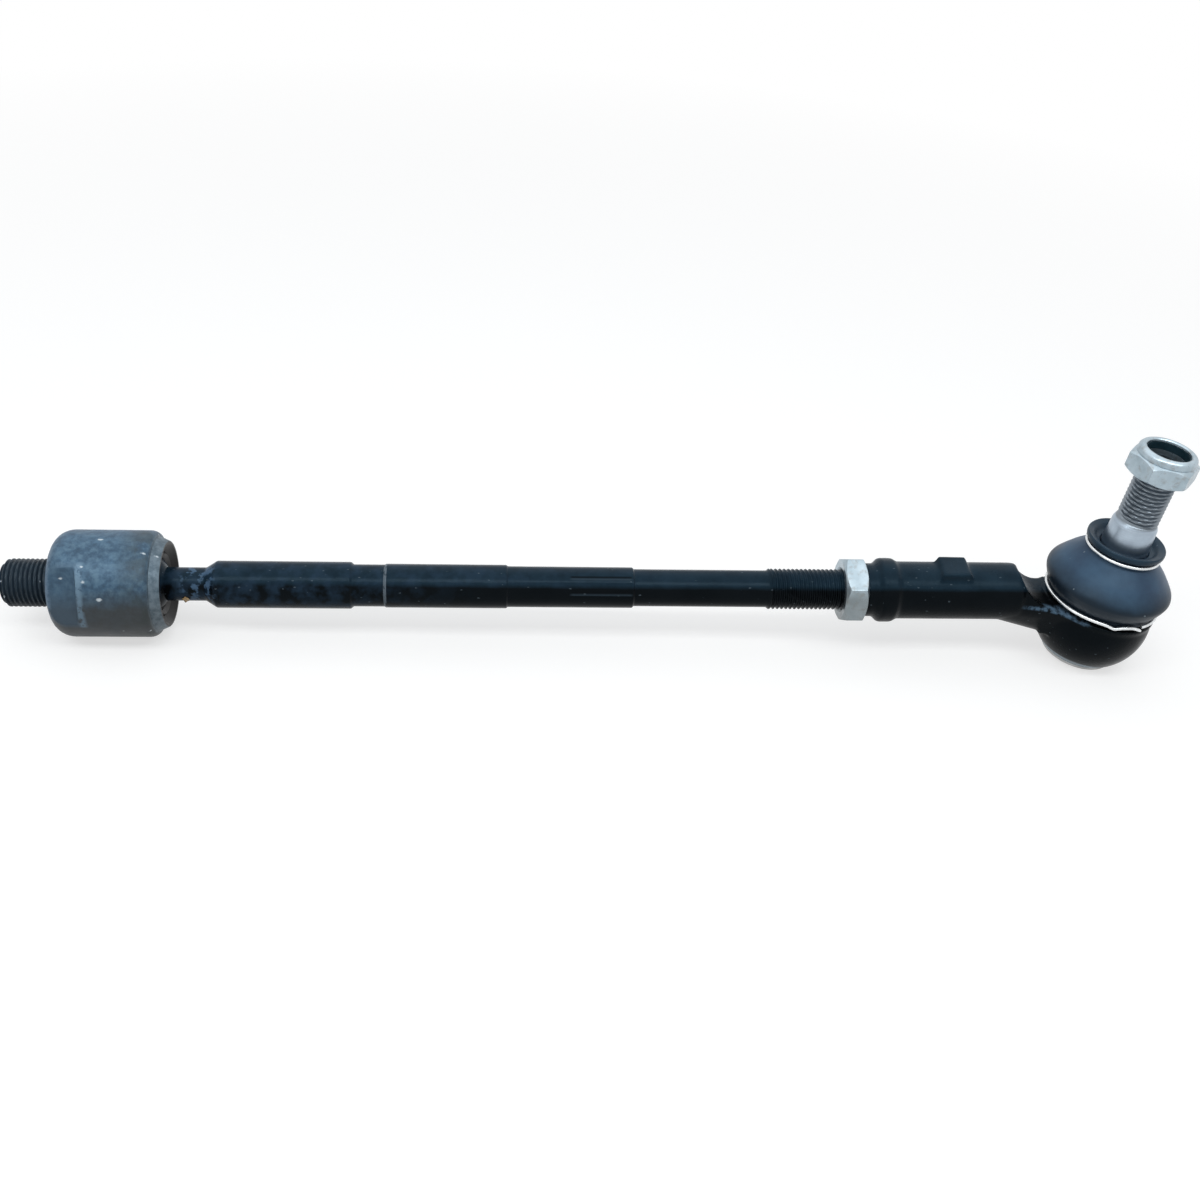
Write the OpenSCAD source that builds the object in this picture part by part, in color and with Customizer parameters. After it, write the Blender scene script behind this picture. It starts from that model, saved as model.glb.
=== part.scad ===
// Tie rod assembly of a rack-and-pinion steering: inner ball joint, rod, outer ball joint, stud and nut.
// The rod runs along +X. The origin is the centre of the shoulder face that seats on the steering rack.

/* [Inner joint housing] */
// Diameter of the threaded rack stud
rack_stud_d = 16; // [12:0.5:18]
// Length of the rack stud beyond the shoulder
rack_stud_l = 16.8; // [12:0.2:24]
// Chamfer at the rack stud's end
rack_stud_chamfer = 1.6; // [0.5:0.1:2.5]
// Outer diameter of the inner housing
housing_d = 35.6; // [34:0.2:42]
// Drop in radius over the housing's rounded shoulder
shoulder_round = 5.6; // [2:0.2:7]
// Length of the housing's rounded shoulder
shoulder_l = 6.4; // [2:0.2:9]
// Length of the housing from shoulder to mouth
housing_l = 36.3; // [36:0.1:40]
// Where the rolled-over end of the housing begins
roll_start = 30.3; // [26:0.1:32]
// Length of the bare band at the mouth
band_l = 3.1; // [2:0.1:5]
// Drop in radius from the housing to the bare band
band_step = 2; // [1:0.1:2.6]
// Drop in radius from the housing to the mouth's outer edge
mouth_step = 3.5; // [3:0.1:3.8]
// Radial width of the mouth's rim
rim_w = 0.9; // [0.6:0.1:1.2]
// Distance across the two wrench flats on the housing
housing_flats = 30; // [28:0.5:33]
// Length of the wrench flats on the housing
housing_flat_l = 10.9; // [6:0.1:14]
// Angle of the wrench flats above the horizontal
housing_flat_angle = 19; // [0:1:90]

/* [Inner ball and seats] */
// Distance of the inner ball's centre from the shoulder
inner_ball_x = 24.5; // [24:0.1:26]
// Thickness of the housing's wall round the seats
housing_wall = 3.2; // [2.8:0.1:3.6]
// Thickness of the two ball seats
seat_t = 1.7; // [1:0.1:2]
// Clearance between ball, seats and housing
seat_gap = 0.2; // [0.1:0.05:0.3]
// How far the housing's lip reaches in over the ball
lip_catch = 1.5; // [1:0.1:2]
// Outer diameter of the preload disc spring
preload_d = 18; // [15:0.5:20]
// Thickness of the preload disc spring
preload_t = 1.1; // [0.8:0.1:1.6]

/* [Rod] */
// Diameter of the neck behind the ball
neck_d = 11.2; // [9:0.2:11.4]
// Where the neck ends and the cone begins
neck_end_x = 48.5; // [44:0.5:52]
// Where the cone reaches the full diameter
cone_end_x = 52.1; // [50:0.5:60]
// Diameter of the thick end of the rod
thick_d = 15.8; // [14:0.1:18]
// Diameter of the groove that the rack bellows sits in
groove_d = 14.2; // [12:0.1:15]
// Where the bellows groove begins
groove_x = 96.7; // [90:0.5:98]
// Length of the bellows groove
groove_l = 11.2; // [8:0.2:14]
// Diameter of the rod between the groove and the middle step
mid_d = 14.8; // [14:0.1:16]
// Where the middle section ends
mid_end_x = 148.8; // [130:0.5:160]
// Diameter of the section that holds the wrench flats
plain_d = 13.9; // [13:0.1:15]
// Distance across the rod's wrench flats
rod_flats = 12.4; // [11:0.1:13]
// Where the rod's wrench flats begin
rod_flat_x = 171.8; // [165:0.5:174]
// Length of the rod's wrench flats
rod_flat_l = 17.1; // [12:0.2:20]
// Length of the run-out at each end of the flats
flat_runout = 2.8; // [1:0.1:4]
// Angle of the rod's wrench flats above the horizontal
rod_flat_angle = 36; // [0:1:90]
// Diameter of the slim shank
shank_d = 12.7; // [11:0.1:13.2]
// Where the adjusting thread begins
thread_x = 238.1; // [230:0.5:245]
// Diameter of the adjusting thread
thread_d = 14; // [12:1:16]
// Length of the adjusting thread
thread_l = 64; // [58:1:66]

/* [Jam nut] */
// Distance across the jam nut's flats
jam_flats = 21; // [21:0.5:24]
// Thickness of the jam nut
jam_t = 7.9; // [6:0.1:10]
// Turn of the jam nut about the rod
jam_turn = 26; // [0:1:59]
// How far inside the flats the face of each nut begins
nut_face_cut = 0.6; // [0.2:0.1:1]
// Radial clearance of each internal thread
thread_gap = 0.05; // [0.02:0.01:0.1]

/* [Outer end] */
// Where the sleeve's nose begins
nose_x = 271.5; // [270:0.1:276]
// Diameter of the sleeve's nose
nose_d = 18.4; // [18:0.1:19]
// Length of the nose
nose_l = 3.6; // [1.5:0.1:4]
// Diameter of the collar
collar_d = 22.2; // [20.5:0.1:25]
// Length of the collar
collar_l = 4.4; // [3:0.1:6]
// Length of the slope on each side of the collar
collar_slope = 1.8; // [1:0.1:3]
// Diameter of the sleeve
sleeve_d = 19.9; // [19:0.1:21]
// Where the straight sleeve ends
sleeve_end_x = 324.8; // [318:0.2:326]
// Depth of the sleeve's threaded bore
bore_depth = 48; // [46:0.5:49]
// Length of the wrench pad on the sleeve
pad_l = 9.4; // [6:0.2:12]
// Slope at each end of the wrench pad
pad_slope = 1.1; // [0.4:0.1:2]
// Width of the wrench pad
pad_w = 10; // [6:0.2:12]
// Distance from the sleeve's nose to the pad's middle
pad_dx = 30.4; // [26:0.2:36]
// Height of the pad over the sleeve
pad_h = 1.4; // [1:0.1:3]
// Turn of the pad from the top towards the front
pad_angle = 6; // [0:1:60]

/* [Outer ball joint] */
// Distance of the outer ball's centre from the shoulder
outer_ball_x = 356.6; // [352:0.1:360]
// Depth of the outer ball's centre below the rod's axis
outer_ball_drop = 9.4; // [6:0.1:12]
// Lean of the ball stud away from the rod
stud_lean = 6.7; // [0:0.1:15]
// Thickness of the outer ball seat
outer_seat_t = 1.9; // [1.2:0.1:2]
// Outer diameter of the bowl that holds the outer ball
bowl_d = 39.4; // [38:0.2:42]
// Thickness of the bowl's wall round the seat
bowl_wall = 5.9; // [5.4:0.1:6.4]
// Height of the bowl's rim over the ball's centre
rim_h = 9.2; // [9:0.1:10]
// Height of the lower wire ring over the ball's centre
lower_ring_h = 8.2; // [7.9:0.1:8.6]
// Depth of the groove that the boot's bead sits in
ring_groove = 2.6; // [2.2:0.1:3]
// Width of the bowl's edge that the end cover laps
cover_lap = 0.9; // [0.6:0.1:1.2]
// Thickness of the end cover
cover_t = 1.3; // [1:0.1:2]
// How far the bowl's rim reaches in over the ball
rim_catch = 1.1; // [0.8:0.1:1.3]

/* [Forged neck] */
// Distance of the neck's upper round from the outer ball's centre, along the rod
neck_top_dx = 15; // [12:0.2:17]
// Height of the neck's top at its upper round
neck_top_z = 5; // [2:0.2:7]
// Radius of the neck's upper round
neck_top_r = 9.2; // [7:0.2:10]
// Distance of the neck's lower round from the outer ball's centre, along the rod
neck_low_dx = 13; // [11:0.2:15]
// Height of the neck's underside at its lower round
neck_low_z = -17.4; // [-20:0.2:-14]
// Radius of the neck's lower round
neck_low_r = 7; // [5:0.2:8]
// Radius of the fillet that widens the neck into the bowl
web_round = 19; // [8:1:26]
// Half the web's width where it leaves the neck
web_half = 9.6; // [7:0.2:9.8]
// Depth of the web below the turned floor
web_t = 12; // [6:0.5:13]
// Draft of the web's sides, as the width left at its underside
web_draft = 0.8; // [0.7:0.05:1]
// Height of the turned floor over the outer ball's centre
relief_h = 5.8; // [3.6:0.1:5.9]
// Radius of the turning round the bowl
relief_round = 13; // [9:0.5:15]
// Distance of the turning's centre from the ball stud's axis
relief_r = 21; // [20.4:0.2:23]

/* [Ball stud] */
// Diameter of the stud's neck
stud_neck_d = 12.4; // [11:0.1:12.6]
// Diameter of the taper where the thread begins
taper_d = 15.3; // [14.4:0.1:16]
// Height of the taper's thin end over the ball's centre
taper_end_h = 39.3; // [38:0.1:42]
// Height of the taper's thick end over the ball's centre
taper_start_h = 19; // [17:0.1:22]
// Growth of the taper's diameter over its length
taper_rate = 0.1; // [0.08:0.01:0.13]
// Diameter of the stud's thread
stud_thread_d = 14; // [12:1:14]
// Length of the stud's thread
stud_thread_l = 23.1; // [20:0.1:25]

/* [Lock nut] */
// Distance across the lock nut's flats
lock_flats = 20.6; // [20:0.2:24]
// Length of the stud inside the lock nut
lock_grip = 5; // [4:0.1:8]
// Height of the lock nut's hexagon
lock_hex_t = 7.2; // [6.4:0.1:11]
// Height of the crimped collar over the hexagon
lock_collar_t = 2.6; // [2.2:0.1:5]
// Difference between the nut's flats and its collar's diameter
lock_collar_step = 1; // [0.6:0.1:2]
// Turn of the lock nut about the stud
lock_turn = 48; // [0:1:59]
// Thickness of the nylon insert
insert_t = 2.4; // [2:0.1:2.8]

/* [Dust boot] */
// How far the boot bulges out beyond the bowl
boot_bulge = 2.1; // [1.6:0.1:3]
// Thickness of the boot's wall
boot_t = 1.4; // [1:0.1:1.8]
// Height of the boot's widest place over the lower wire ring
boot_wide_dh = 6.7; // [5.5:0.1:8]
// Height of the upper wire ring over the lower one
upper_ring_dh = 20; // [19:0.1:22]
// Height of the boot's top lip over the upper wire ring
boot_top_dh = 3.6; // [3:0.1:4.2]
// How far the boot's top lip stands out beyond its waist
boot_lip_out = 1.9; // [1:0.1:2.4]
// Diameter of the boot where the upper wire ring sits
boot_waist_d = 23; // [22.4:0.1:24]
// Diameter of the wire of both rings
wire_d = 1.3; // [1:0.1:1.6]
// Clearance round the rubber boot
boot_gap = 0.3; // [0.2:0.05:0.4]

/* [Hidden] */
$fn = 96;
eps = 0.01;

housing_r = housing_d / 2;
mouth_r = housing_r - mouth_step;
inner_cavity_r = housing_r - housing_wall;
inner_seat_ro = inner_cavity_r - seat_gap;
inner_seat_ri = inner_seat_ro - seat_t;
inner_ball_r = inner_seat_ri - seat_gap;
lip_r = inner_ball_r - lip_catch;
lip_x = inner_ball_x + sqrt(pow(inner_cavity_r, 2) - pow(lip_r, 2));
preload_pocket_r = preload_d / 2 + seat_gap;
preload_inner_r = preload_d * 0.28;
preload_top_x = inner_ball_x - sqrt(pow(inner_seat_ro, 2) - pow(preload_inner_r, 2)) - seat_gap;
preload_dish = 1.4;
preload_floor_x = preload_top_x - preload_t - preload_dish - seat_gap;
preload_pocket_l = preload_t + preload_dish + 4;

bowl_r = bowl_d / 2;
outer_cavity_r = bowl_r - bowl_wall;
outer_seat_ro = outer_cavity_r - seat_gap;
outer_seat_ri = outer_seat_ro - outer_seat_t;
outer_ball_r = outer_seat_ri - seat_gap;
stud_opening_r = outer_ball_r - rim_catch;
stud_lip_h = sqrt(pow(outer_cavity_r, 2) - pow(stud_opening_r, 2));
bottom_bore_r = outer_ball_r + seat_gap;
cover_r = bottom_bore_r + cover_lap;
bottom_h = -sqrt(pow(bowl_r, 2) - pow(cover_r + 0.2, 2));
bowl_band = 4.4;
ring_groove_r = bowl_r - ring_groove;
bead_t = 1;
bead_ri = ring_groove_r + boot_gap;
bead_ro = bead_ri + bead_t;
lower_ring_r = bead_ro + boot_gap + wire_d / 2;
upper_ring_r = boot_waist_d / 2 + boot_gap + wire_d / 2;
taper_top_r = taper_d / 2;
stud_end_h = taper_end_h + stud_thread_l;
lock_h = stud_end_h - lock_grip;
lock_collar_r = (lock_flats - lock_collar_step) / 2;
lock_lip_t = 1.2;
insert_r = lock_collar_r - lock_lip_t - 0.1;
boot_r = bowl_r + boot_bulge;
boot_wide_h = lower_ring_h + boot_wide_dh;
upper_ring_h = lower_ring_h + upper_ring_dh;
boot_top_h = upper_ring_h + boot_top_dh;
boot_lip_r = boot_waist_d / 2 + boot_lip_out;
insert_h = lock_h + lock_hex_t + lock_collar_t - insert_t - lock_lip_t;

// Turns a shape drawn along Z so that it lies along the rod.
module along_rod() {
    rotate([0, 90, 0]) children();
}

// Places a shape drawn along Z on the outer ball joint's own axis.
module on_stud() {
    translate([outer_ball_x, 0, -outer_ball_drop]) rotate([0, stud_lean, 0]) children();
}

// A ball seat: the part of a hollow ball between two angles from the +Z pole.
module seat_shell(ri, ro, from_angle, to_angle) {
    steps = 24;
    angles = [for (i = [0 : steps]) from_angle + (to_angle - from_angle) * i / steps];
    rotate_extrude() polygon(concat(
        [for (a = angles) [ro * sin(a), ro * cos(a)]],
        [for (i = [steps : -1 : 0]) [ri * sin(angles[i]), ri * cos(angles[i])]]
    ));
}

// A hexagon prism whose corners are cut by a cone at the chosen ends.
module hex_prism(flats, t, cut_low, cut_high) {
    corner_r = flats / sqrt(3);
    face_r = flats / 2 - nut_face_cut;
    drop = (corner_r - face_r) * tan(30);
    intersection() {
        cylinder(h = t, r = corner_r, $fn = 6);
        rotate_extrude() polygon([
            [0, 0],
            [cut_low ? face_r : corner_r + 1, 0],
            [corner_r + eps, cut_low ? drop : 0],
            [corner_r + eps, cut_high ? t - drop : t],
            [cut_high ? face_r : corner_r + 1, t],
            [0, t]
        ]);
    }
}

module inner_housing() {
    r = housing_r;
    flat_r = r - shoulder_round;
    stud_r = rack_stud_d / 2;
    roll_l = housing_l - band_l - roll_start;
    color("slategray") difference() {
        along_rod() rotate_extrude() polygon(concat(
            [[0, -rack_stud_l], [stud_r - rack_stud_chamfer, -rack_stud_l],
             [stud_r, -rack_stud_l + rack_stud_chamfer], [stud_r, 0], [flat_r, 0]],
            [for (a = [11.25 : 11.25 : 90]) [flat_r + shoulder_round * sin(a), shoulder_l * (1 - cos(a))]],
            [for (a = [0 : 15 : 90]) [r - band_step * (1 - cos(a)), roll_start + roll_l * sin(a)]],
            [[mouth_r, housing_l], [0, housing_l]]
        ));
        translate([inner_ball_x, 0, 0]) along_rod() seat_cavity(inner_cavity_r, lip_x - inner_ball_x);
        translate([preload_floor_x, 0, 0]) along_rod() cylinder(h = preload_pocket_l, r = preload_pocket_r);
        translate([lip_x, 0, 0]) along_rod()
            cylinder(h = housing_l - lip_x + eps, r1 = lip_r, r2 = mouth_r - rim_w);
        for (side = [0, 180]) {
            rotate([housing_flat_angle + side, 0, 0]) translate([-eps, -housing_d, -housing_d])
                cube([housing_flat_l + eps, housing_d - housing_flats / 2, 2 * housing_d]);
        }
    }
}

// The space a ball's seats turn in: a ball cut off at the lip's height.
module seat_cavity(r, lip_h) {
    steps = 32;
    top = acos(lip_h / r);
    rotate_extrude() polygon(concat(
        [[0, lip_h]],
        [for (i = [0 : steps]) let (a = top + (180 - top) * i / steps) [r * sin(a), r * cos(a)]]
    ));
}

module preload_disc() {
    color("dimgray") along_rod() rotate_extrude() polygon([
        [preload_inner_r, preload_top_x - preload_t],
        [preload_inner_r, preload_top_x],
        [preload_d / 2, preload_top_x - preload_dish],
        [preload_d / 2, preload_top_x - preload_dish - preload_t]
    ]);
}

module rear_seat() {
    color("ivory") translate([inner_ball_x, 0, 0]) along_rod()
        seat_shell(inner_seat_ri, inner_seat_ro, 108, 164);
}

module front_seat() {
    color("ivory") translate([inner_ball_x, 0, 0]) along_rod()
        seat_shell(inner_seat_ri, inner_seat_ro, 44, 84);
}

module tie_rod() {
    ball_neck_h = sqrt(pow(inner_ball_r, 2) - pow(neck_d / 2, 2));
    ball_from = acos(ball_neck_h / inner_ball_r);
    groove_end = groove_x + groove_l;
    thread_end = thread_x + thread_l;
    flat_end = rod_flat_x + rod_flat_l;
    step = 0.4;
    color("black") difference() {
        along_rod() rotate_extrude() polygon(concat(
            [for (i = [32 : -1 : 0]) let (a = ball_from + (180 - ball_from) * i / 32)
                [inner_ball_r * sin(a), inner_ball_x + inner_ball_r * cos(a)]],
            [[neck_d / 2, neck_end_x], [thick_d / 2, cone_end_x],
             [thick_d / 2, groove_x - step], [groove_d / 2, groove_x + step],
             [groove_d / 2, groove_end - step], [mid_d / 2, groove_end],
             [mid_d / 2, mid_end_x - step], [plain_d / 2, mid_end_x],
             [plain_d / 2, flat_end + flat_runout - step], [shank_d / 2, flat_end + flat_runout],
             [shank_d / 2, thread_x - step], [thread_d / 2, thread_x + step],
             [thread_d / 2, thread_end - 1.2], [thread_d / 2 - 1.2, thread_end], [0, thread_end]]
        ));
        for (side = [0, 180]) {
            rotate([rod_flat_angle + side, 0, 0]) linear_extrude(2 * plain_d, center = true) polygon([
                [rod_flat_x - flat_runout, -plain_d], [rod_flat_x - flat_runout, -plain_d / 2 - eps],
                [rod_flat_x, -rod_flats / 2], [flat_end, -rod_flats / 2],
                [flat_end + flat_runout, -plain_d / 2 - eps], [flat_end + flat_runout, -plain_d]
            ]);
        }
    }
}

module jam_nut() {
    place = [nose_x - jam_t, 0, 0];
    color("lightsteelblue") translate(place) rotate([jam_turn, 0, 0]) along_rod() difference() {
        rotate(90) hex_prism(jam_flats, jam_t, true, true);
        translate([0, 0, -eps]) cylinder(h = jam_t + 2 * eps, r = thread_d / 2 + thread_gap);
    }
}

module outer_housing() {
    nose_end = nose_x + nose_l;
    collar_from = nose_end + collar_slope;
    collar_end = collar_from + collar_l;
    sleeve_from = collar_end + collar_slope;
    color("black") difference() {
        union() {
            along_rod() rotate_extrude() polygon([
                [0, nose_x], [nose_d / 2, nose_x], [nose_d / 2, nose_end], [collar_d / 2, collar_from],
                [collar_d / 2, collar_end], [sleeve_d / 2, sleeve_from], [sleeve_d / 2, sleeve_end_x],
                [0, sleeve_end_x]
            ]);
            wrench_pad();
            forged_neck();
            on_stud() bowl();
        }
        translate([nose_x - eps, 0, 0]) along_rod() cylinder(h = bore_depth, r = thread_d / 2 + thread_gap);
        on_stud() {
            seat_cavity(outer_cavity_r, stud_lip_h);
            translate([0, 0, stud_lip_h])
                cylinder(h = rim_h - stud_lip_h + eps, r1 = stud_opening_r, r2 = stud_opening_r + 0.4);
            translate([0, 0, bottom_h - eps]) cylinder(h = -bottom_h - 4, r = bottom_bore_r);
        }
    }
}

// The pad on the sleeve that a wrench holds, with sloping ends.
module wrench_pad() {
    top = sleeve_d / 2 + pad_h;
    foot = top - 2 * pad_h;
    rotate([pad_angle, 0, 0]) translate([nose_x + pad_dx, 0, 0]) rotate([90, 0, 0])
        linear_extrude(pad_w, center = true) polygon([
            [-pad_l / 2 - pad_slope, 0], [pad_l / 2 + pad_slope, 0], [pad_l / 2 + pad_slope, foot],
            [pad_l / 2, top], [-pad_l / 2, top], [-pad_l / 2 - pad_slope, foot]
        ]);
}

// The forging between sleeve and bowl, turned down round the bowl so that the boot has room.
module forged_neck() {
    difference() {
        hull() {
            translate([sleeve_end_x - 1, 0, 0]) along_rod() cylinder(h = 1, d = sleeve_d, $fn = 32);
            translate([outer_ball_x - neck_top_dx, 0, neck_top_z - neck_top_r])
                sphere(r = neck_top_r, $fn = 32);
            translate([outer_ball_x - neck_low_dx, 0, neck_low_z + neck_low_r])
                sphere(r = neck_low_r, $fn = 32);
        }
        on_stud() neck_turning();
    }
    on_stud() neck_web();
}

// What the lathe takes off round the bowl: a flat floor that sweeps up towards the sleeve.
module neck_turning() {
    centre_h = relief_h + relief_round;
    rotate_extrude() polygon(concat(
        [[0, relief_h]],
        [for (a = [-90 : 10 : 0]) [relief_r + relief_round * cos(a), centre_h + relief_round * sin(a)]],
        [[relief_r + relief_round, 2 * centre_h], [0, 2 * centre_h]]
    ));
}

// The web that widens the neck into the bowl, under the turned floor.
module neck_web() {
    fillet_x = sqrt(pow(bowl_r + web_round, 2) - pow(web_half + web_round, 2));
    turn = asin(fillet_x / (bowl_r + web_round));
    steps = 8;
    arc = [for (i = [0 : steps]) let (a = turn * i / steps)
        [-fillet_x + web_round * sin(a), web_half + web_round * (1 - cos(a))]];
    other_arc = [for (i = [steps : -1 : 0]) [arc[i][0], -arc[i][1]]];
    translate([0, 0, relief_h - web_t]) linear_extrude(web_t, scale = 1 / web_draft)
        scale(web_draft) polygon(concat(arc, other_arc));
}

// The outer joint's bowl: a ball cut flat at the bottom, with a groove under its rim for the boot's bead.
module bowl() {
    low = acos(bottom_h / bowl_r);
    high = acos((lower_ring_h - bowl_band) / bowl_r);
    steps = 24;
    rotate_extrude() polygon(concat(
        [[0, bottom_h]],
        [for (i = [0 : steps]) let (a = low + (high - low) * i / steps) [bowl_r * sin(a), bowl_r * cos(a)]],
        [[bowl_r, lower_ring_h - bowl_band / 2], [ring_groove_r, lower_ring_h - 1.4], [ring_groove_r, rim_h],
         [0, rim_h]]
    ));
}

module seat_spring() {
    outer = bottom_bore_r - seat_gap;
    inner = 7.4;
    top = -sqrt(pow(outer_seat_ro, 2) - pow(inner, 2)) - seat_gap;
    color("dimgray") on_stud() rotate_extrude() polygon([
        [inner, top - 0.9], [inner, top], [outer, bottom_h + 0.9], [outer, bottom_h]
    ]);
}

module end_cover() {
    r = cover_r;
    edge = 0.4;
    color("silver") on_stud() rotate_extrude() polygon([
        [0, bottom_h], [r, bottom_h], [r, bottom_h - cover_t + edge], [r - edge, bottom_h - cover_t],
        [0, bottom_h - cover_t]
    ]);
}

// A ring of round wire about Z.
module wire_ring(r, h) {
    translate([0, 0, h]) rotate_extrude() translate([r, 0]) circle(d = wire_d, $fn = 24);
}

module boot_lower_ring() {
    color("gainsboro") on_stud() wire_ring(lower_ring_r, lower_ring_h);
}

module boot_upper_ring() {
    color("gainsboro") on_stud() wire_ring(upper_ring_r, upper_ring_h);
}

module dust_boot() {
    wide_r = boot_r;
    waist_r = boot_waist_d / 2;
    stud_r = taper_top_r + (taper_end_h - boot_top_h + 3) * taper_rate / 2 + boot_gap;
    color("midnightblue") on_stud() rotate_extrude() polygon([
        [bead_ri, lower_ring_h - 1], [bead_ro, lower_ring_h - 1], [bead_ro, lower_ring_h + 0.9],
        [wide_r - 1.6, boot_wide_h - 3], [wide_r - 0.3, boot_wide_h - 1.4], [wide_r, boot_wide_h],
        [wide_r - 0.4, boot_wide_h + 1.6], [wide_r - 1.8, boot_wide_h + 3.6],
        [waist_r + 1.6, upper_ring_h - 3], [waist_r, upper_ring_h - 1], [waist_r, upper_ring_h + 0.9],
        [boot_lip_r, upper_ring_h + 1.6], [boot_lip_r, boot_top_h],
        [boot_lip_r - 2, boot_top_h], [stud_r + 1.2, boot_top_h - 2.4], [stud_r, boot_top_h - 2.6],
        [stud_r, upper_ring_h - 2.2], [waist_r - boot_t, upper_ring_h - 3.4],
        [wide_r - 1.8 - boot_t, boot_wide_h + 3], [wide_r - boot_t, boot_wide_h],
        [wide_r - 2 - boot_t, boot_wide_h - 2.2], [bead_ri, lower_ring_h + 1.6]
    ]);
}

module ball_seat() {
    color("ivory") on_stud() seat_shell(outer_seat_ri, outer_seat_ro, 50, 146);
}

module ball_stud() {
    neck_r = stud_neck_d / 2;
    ball_neck_h = sqrt(pow(outer_ball_r, 2) - pow(neck_r, 2));
    ball_from = acos(ball_neck_h / outer_ball_r);
    thick_r = taper_top_r + (taper_end_h - taper_start_h) * taper_rate / 2;
    thread_r = stud_thread_d / 2;
    tip = 1.4;
    color("silver") on_stud() rotate_extrude() polygon(concat(
        [for (i = [32 : -1 : 0]) let (a = ball_from + (180 - ball_from) * i / 32)
            [outer_ball_r * sin(a), outer_ball_r * cos(a)]],
        [[neck_r, taper_start_h - 3.5], [thick_r, taper_start_h], [taper_top_r, taper_end_h],
         [thread_r, taper_end_h + 0.6], [thread_r, stud_end_h - tip], [thread_r - tip, stud_end_h],
         [0, stud_end_h]]
    ));
}

module nut_insert() {
    color("darkslategray") on_stud() translate([0, 0, insert_h]) difference() {
        cylinder(h = insert_t, r = insert_r);
        translate([0, 0, -eps]) cylinder(h = insert_t + 2 * eps, r = stud_thread_d / 2 + thread_gap);
    }
}

module lock_nut() {
    top = lock_hex_t + lock_collar_t;
    collar_r = lock_collar_r;
    bore_r = stud_thread_d / 2 + thread_gap;
    insert_low = insert_h - lock_h - thread_gap;
    color("lightsteelblue") on_stud() translate([0, 0, lock_h]) rotate(lock_turn) difference() {
        union() {
            hex_prism(lock_flats, lock_hex_t, true, true);
            rotate_extrude() polygon([
                [0, lock_hex_t - 1], [collar_r, lock_hex_t - 1], [collar_r, top - 1.8],
                [collar_r - 0.5, top - 0.7], [collar_r - 1.5, top], [0, top]
            ]);
        }
        translate([0, 0, -eps]) cylinder(h = top + 1, r = bore_r);
        translate([0, 0, insert_low]) cylinder(h = insert_t + 2 * thread_gap, r = insert_r + thread_gap);
        translate([0, 0, top - 1.3]) cylinder(h = 1.4, r1 = bore_r, r2 = bore_r + 1.2);
    }
}

inner_housing();
preload_disc();
rear_seat();
front_seat();
tie_rod();
jam_nut();
outer_housing();
seat_spring();
end_cover();
boot_lower_ring();
dust_boot();
ball_seat();
boot_upper_ring();
ball_stud();
nut_insert();
lock_nut();
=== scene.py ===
"""Looks of a steering tie rod assembly: inner ball joint, rod, jam nut and outer ball joint."""
import math

import bmesh
import bpy
import numpy as np
from mathutils import Matrix, Vector


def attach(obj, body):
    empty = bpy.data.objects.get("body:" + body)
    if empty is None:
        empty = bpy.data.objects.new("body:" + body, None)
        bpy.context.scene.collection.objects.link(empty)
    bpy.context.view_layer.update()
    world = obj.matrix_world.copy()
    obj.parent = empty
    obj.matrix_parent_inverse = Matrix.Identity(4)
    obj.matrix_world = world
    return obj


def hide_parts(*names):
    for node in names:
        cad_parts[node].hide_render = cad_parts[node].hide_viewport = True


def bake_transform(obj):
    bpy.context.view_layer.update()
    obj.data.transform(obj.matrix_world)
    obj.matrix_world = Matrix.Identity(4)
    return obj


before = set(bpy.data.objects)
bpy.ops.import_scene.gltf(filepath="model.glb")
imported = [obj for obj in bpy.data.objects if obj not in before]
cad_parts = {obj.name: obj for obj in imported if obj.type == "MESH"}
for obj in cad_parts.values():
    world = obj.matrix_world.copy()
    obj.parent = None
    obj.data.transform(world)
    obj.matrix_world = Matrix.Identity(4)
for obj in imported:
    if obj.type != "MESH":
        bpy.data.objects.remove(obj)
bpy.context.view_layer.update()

MM = 0.001

# Sizes of the turned parts, in millimetres, the same as the solids have
STUD_PITCH = 1.5
BALL_X = 356.6
BALL_DROP = 9.4
LEAN = math.radians(6.7)


def stud_matrix():
    """Takes a point from the outer ball joint's own axes, in mm, to the row frame, in metres."""
    along = Vector((math.cos(LEAN), 0, -math.sin(LEAN)))
    up = Vector((math.sin(LEAN), 0, math.cos(LEAN)))
    across = Vector((0, 1, 0))
    m = Matrix.Identity(4)
    for row in range(3):
        m[row][0], m[row][1], m[row][2] = along[row] * MM, across[row] * MM, up[row] * MM
    m[0][3], m[1][3], m[2][3] = BALL_X * MM, 0, -BALL_DROP * MM
    return m


def rod_matrix():
    """Takes a lathe drawn about Z, in mm, to the rod's axis +X, in metres, with its zero angle at +Y."""
    m = Matrix.Identity(4)
    m[0][0], m[0][1], m[0][2] = 0, 0, MM
    m[1][0], m[1][1], m[1][2] = MM, 0, 0
    m[2][0], m[2][1], m[2][2] = 0, MM, 0
    return m


ON_STUD = stud_matrix()
ON_ROD = rod_matrix()


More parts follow.
